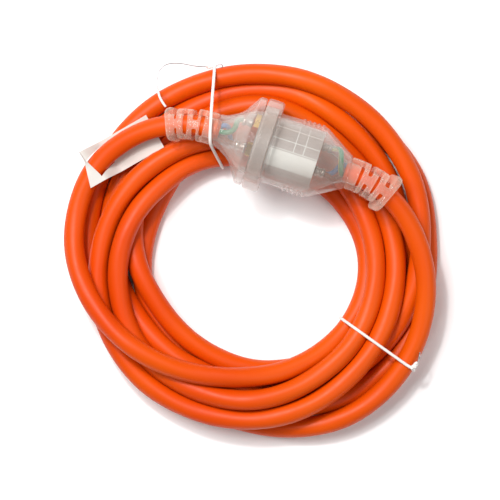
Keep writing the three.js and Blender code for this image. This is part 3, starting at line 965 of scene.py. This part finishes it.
def taut_loop(outer, inner, extra=(), outward=1.2):
    """A loop pulled tight round the turns between two plan points, from the outer top corner over the
    turns to the inner side, underneath and back up outside. extra is more (distance, height) points
    that it has to go over, and a larger outward starts the loop further out than up."""
    start = np.array([*outer, 0.0])
    ahead = np.array([*inner, 0.0]) - start
    width = np.linalg.norm(ahead)
    ahead /= width
    ring = np.arange(24) * 2 * np.pi / 24
    reach = CORD_R + TIE_R
    points = []
    for d, z in crossings(cord_line, start, ahead):
        if -CORD_R - SLACK < d < width + CORD_R + SLACK:
            points += list(zip(d + reach * np.cos(ring), z + reach * np.sin(ring)))
    points = [(d, max(z, TIE_R)) for d, z in points] + list(extra)
    loop = np.array(hull(points))[::-1]
    middle = (loop.min(0) + loop.max(0)) / 2
    from_middle = (loop - middle) / np.ptp(loop, axis=0)
    corner = np.argmax(from_middle[:, 1] - outward * from_middle[:, 0])
    loop = np.roll(loop, -corner, axis=0)
    loop = np.vstack([loop, loop[:1]])
    return start + loop[:, :1] * ahead + loop[:, 1:] * UP


def twisted(loop, axis_points, turns, tail_one, tail_other):
    """The tie's whole path: one tail, a helix to the loop, the loop, and a helix out to the other tail.
    Each tail is the point that it ends at."""
    core = spline(axis_points, 0.4)
    a, b = carried_sides(core)
    phase = np.linspace(0, turns * 2 * np.pi, len(core))[:, None]
    grow = np.clip(np.arange(len(core)) / 3, 0.6, 1)[:, None] * (TIE_R + 0.03)
    one = core + grow * (np.cos(phase) * a + np.sin(phase) * b)
    other = core - grow * (np.cos(phase) * a + np.sin(phase) * b)
    body = smoothed(evenly(loop, 1.2), 5)[2:-2]
    return np.vstack([tail_one, one[::-2], body, other[::2], tail_other])


def build_bottom_tie():
    """Round the bundle only, on the side of the coil away from the plug."""
    loop = taut_loop(*BOTTOM_TIE)
    at = loop[0]
    axis_points = [at + (0.3, -0.2, 0.9), at + (1.2, 0.0, 1.4), at + (2.1, 0.9, 1.7), at + (2.8, 1.9, 1.7)]
    end = axis_points[-1]
    path = twisted(loop, axis_points, 1.75, end + (0.5, 0.5, 0.4), end + (0.4, 0.4, -0.6))
    bottom = tube("tie_bottom", evenly(path, TIE_STEP), TIE_R, TIE_WHITE, 12, 0.3)
    wires = []
    for k, side in enumerate((-1, 1)):
        bare = [end, end + (1.0, 1.2, 0.3 * side), end + (1.6 - 0.2 * side, 3.2, 0.4)]
        bare += [end + (1.9, 5.6, 0.6 + 0.5 * side)]
        wires.append(tube("tie_bottom_wire_%d" % k, spline(bare, 0.5), WIRE_R, WIRE, 8, 0.3))
    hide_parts("twist_tie_bottom")
    for piece in (bottom, *wires):
        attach(piece, "lead")


def build_top_tie():
    """Over the plug's strain relief and round the turns under it, with a long loose tail."""
    outer, inner = TOP_TIE
    over = local(-25, 0, 0)
    start = np.array([*outer, 0.0])
    ahead = np.array([*inner, 0.0]) - start
    ahead /= np.linalg.norm(ahead)
    middle = (over - start) @ ahead
    section = rounded_rectangle(2 * (8.2 + TIE_R), RELIEF_HEIGHT + 2 * TIE_R, 4.0, 4)
    extra = [(middle + v, over[2] - 0.4 + w) for v, w in section]
    loop = taut_loop(outer, inner, extra, 3.5)
    share = np.clip((loop[:, 2] - 12) / 16, 0, 1)
    loop[:, 0] += share * np.interp(loop[:, 1], *LEAN)
    at = loop[0]
    axis_points = [at + (0, 0.3, 0.8), at + (-0.9, 0.9, 1.3), at + (-1.9, 0.9, 1.3), at + (-2.9, 0.4, 1.1)]
    end = axis_points[-1]
    path = twisted(loop, axis_points, 2.0, end + (-0.6, 0, 0.6), end + (-0.6, 0, -0.5))
    top = tube("tie_top", evenly(path, TIE_STEP), TIE_R, TIE_WHITE, 12, 0.3)
    high = at[2] + 1.2
    tail = [end + (0.4, 0, 0), (-27, 91.2, high + 0.6), (-33, 92.3, high + 1.0), (-38.4, 92.4, high + 1.6)]
    tail += [(-41.0, 91.8, high + 2.0), (-43.2, 90.2, high + 2.4), (-45.0, 86.7, high + 3.0)]
    tail += [(-45.3, 83.2, high + 3.6), (-45.0, 78.2, high + 4.4)]
    bare = tube("tie_top_wire", spline(tail, 0.6), WIRE_R, WIRE, 8, 0.3)
    tip = [(-45.1, 79.6, high + 4.2), (-44.2, 76.0, high + 4.8), (-41.2, 71.0, high + 5.6)]
    coated = tube("tie_top_end", spline(tip, TIE_STEP), 0.6, TIE_WHITE, 12, 0.3)
    curl = [at + (0.6, 0.4, 0.9), at + (2.0, 1.3, 1.5), at + (3.6, 1.4, 1.6), at + (4.1, 0.6, 1.4)]
    curl += [at + (3.4, -0.2, 1.1)]
    curl = tube("tie_top_curl", spline(curl, 0.5), WIRE_R, WIRE, 8, 0.3)
    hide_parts("twist_tie_top")
    for piece in (top, bare, coated, curl):
        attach(piece, "lead")


build_bottom_tie()
build_top_tie()


# ---- Tag ----


TAG_START = (-46.35, 59.05)  # the middle of the tag's end by the plug, on plan
TAG_DEGREES = 209.3  # which way the tag runs from there
TAG_WIDTH = 18.0
TAG_LENGTH = 40.5
TAG_THICK = 0.35
TAG_HOLE = (25.0, 34.8)  # how far along it the hole starts and ends
HOLE_HALF = 5.1  # half the hole's width
TAG_ROWS = 55
TAG_COLUMNS = 10  # of points on each side of the hole, and across it
TAG_HIGHEST = 21.4
PAPER_GAP = 0.6  # between the paper's middle and the cord
# How far along the hole's far edge and the tag's far edge are, at places across the tag.
SLIT_EDGE = ((-9, -3.9, 5.8, 9), (37.0, 36.4, 33.5, 33.1))
FAR_EDGE = ((-9, -3.9, 9), (37.4, 37.3, 41.0))


def tag_surface():
    """The tag's upper side: the distance along it of each row of points, and the rows."""
    near = np.array(TAG_START)
    turn = math.radians(TAG_DEGREES)
    ahead = np.array([math.cos(turn), math.sin(turn)])
    across = np.array([-ahead[1], ahead[0]])
    edge = TAG_WIDTH / 2
    end = TAG_HOLE[1]
    first = cord_line[: int(120 / CORD_STEP)]
    along = (first[:, :2] - near) @ ahead
    beside = (first[:, :2] - near) @ across
    order = np.argsort(along)
    us = np.unique(np.concatenate([np.linspace(0, TAG_LENGTH, TAG_ROWS), TAG_HOLE]))
    top = []
    for u in us:
        p = np.interp(u, along[order], beside[order])
        p = min(max(p, -edge + HOLE_HALF + 1), edge - HOLE_HALF - 1)
        z_cord = np.interp(u, along[order], first[order, 2])
        beside_hole = np.linspace(-edge, p - HOLE_HALF, TAG_COLUMNS)
        over_hole = np.linspace(p - HOLE_HALF, p + HOLE_HALF, TAG_COLUMNS)[1:-1]
        past_hole = np.linspace(p + HOLE_HALF, edge, TAG_COLUMNS)
        under = z_cord - CORD_R - PAPER_GAP
        over = z_cord + CORD_R + PAPER_GAP
        rise = np.clip((u - 24) / 11, 0, 1)
        rise = rise * rise * (3 - 2 * rise)
        level = min(under, TAG_HIGHEST) * (1 - rise) + over * rise
        row = []
        for v in (*beside_hole, *over_hole, *past_hole):
            slit = np.interp(v, *SLIT_EDGE)
            far = np.interp(v, *FAR_EDGE)
            if u < end:
                moved = u / end * slit
            else:
                moved = slit + (u - end) / (TAG_LENGTH - end) * (far - slit)
            curl = 0.9 * math.sin(u / 6.5) * (v / TAG_WIDTH) + 0.5 * math.cos(u / 5 + 1)
            droop = max(0.0, u - end) ** 1.5 * 0.16 * (abs(v - p) / TAG_WIDTH + 0.1)
            row.append((*(near + moved * ahead + v * across), level + curl * (1 - rise) - droop))
        top.append(row)
    return us, np.array(top)


def build_tag():
    """A paper tag threaded on the plug's end of the cord, which dips through the tag's hole."""
    us, top = tag_surface()
    rows, columns = top.shape[:2]
    flat = top.reshape(-1, 3)
    vertices = np.concatenate([flat, flat - (0, 0, TAG_THICK)])
    count = rows * columns
    faces = []
    edges = set()
    for r in range(rows - 1):
        beside_slit = TAG_HOLE[0] - 0.01 <= us[r] and us[r + 1] <= TAG_HOLE[1] + 0.01
        for c in range(columns - 1):
            if beside_slit and TAG_COLUMNS - 1 <= c < columns - TAG_COLUMNS:
                continue
            i = r * columns + c
            face = (i, i + 1, i + columns + 1, i + columns)
            faces.append(face[::-1])
            faces.append(tuple(i + count for i in face))
            edges.update(zip(face, face[1:] + face[:1]))
    for i, j in sorted(edges):
        if (j, i) not in edges:
            faces.append((i, j, j + count, i + count))
    used = sorted({i for face in faces for i in face})
    number = {old: new for new, old in enumerate(used)}
    faces = [tuple(number[i] for i in face) for face in faces]
    tag = new_object("tag", vertices[used], faces, PAPER)
    crisp(tag, 50)
    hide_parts("label_tag")
    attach(tag, "lead")


build_tag()


# ---- Floor and light ----


FLOOR_REACH = 3000
WORLD_LIGHT = 0.22
# Each lamp's name, place, size and power. All point at the middle of the coil.
LAMPS = (
    ("key", (-0.5, 0.5, 1.3), 0.8, 22),
    ("fill", (0.8, -0.3, 1.1), 1.0, 5),
    ("glint", (-0.25, 0.45, 1.1), 0.08, 4.5),
)


def build_studio():
    s = Shader("studio_floor", Roughness=0.9)
    s.ramp(s.noise(3, 1), [(0.3, (0.93, 0.93, 0.93)), (0.7, (0.95, 0.95, 0.95))], "Base Color")
    corners = [(x * FLOOR_REACH, y * FLOOR_REACH, 0) for x, y in ((-1, -1), (1, -1), (1, 1), (-1, 1))]
    floor = new_object("floor", corners, [(0, 1, 2, 3)], s.material)
    world = bpy.data.worlds.new("studio")
    world.use_nodes = True
    background = world.node_tree.nodes["Background"]
    background.inputs["Color"].default_value = (1, 1, 1, 1)
    background.inputs["Strength"].default_value = WORLD_LIGHT
    bpy.context.scene.world = world
    for name, place, size, power in LAMPS:
        lamp = bpy.data.objects.new(name, bpy.data.lights.new(name, "AREA"))
        lamp.data.size = size
        lamp.data.energy = power
        lamp.location = place
        lamp.rotation_euler = (-Vector(place)).to_track_quat("-Z", "Y").to_euler()
        bpy.context.scene.collection.objects.link(lamp)
    bpy.context.scene.view_settings.view_transform = "Standard"


build_studio()
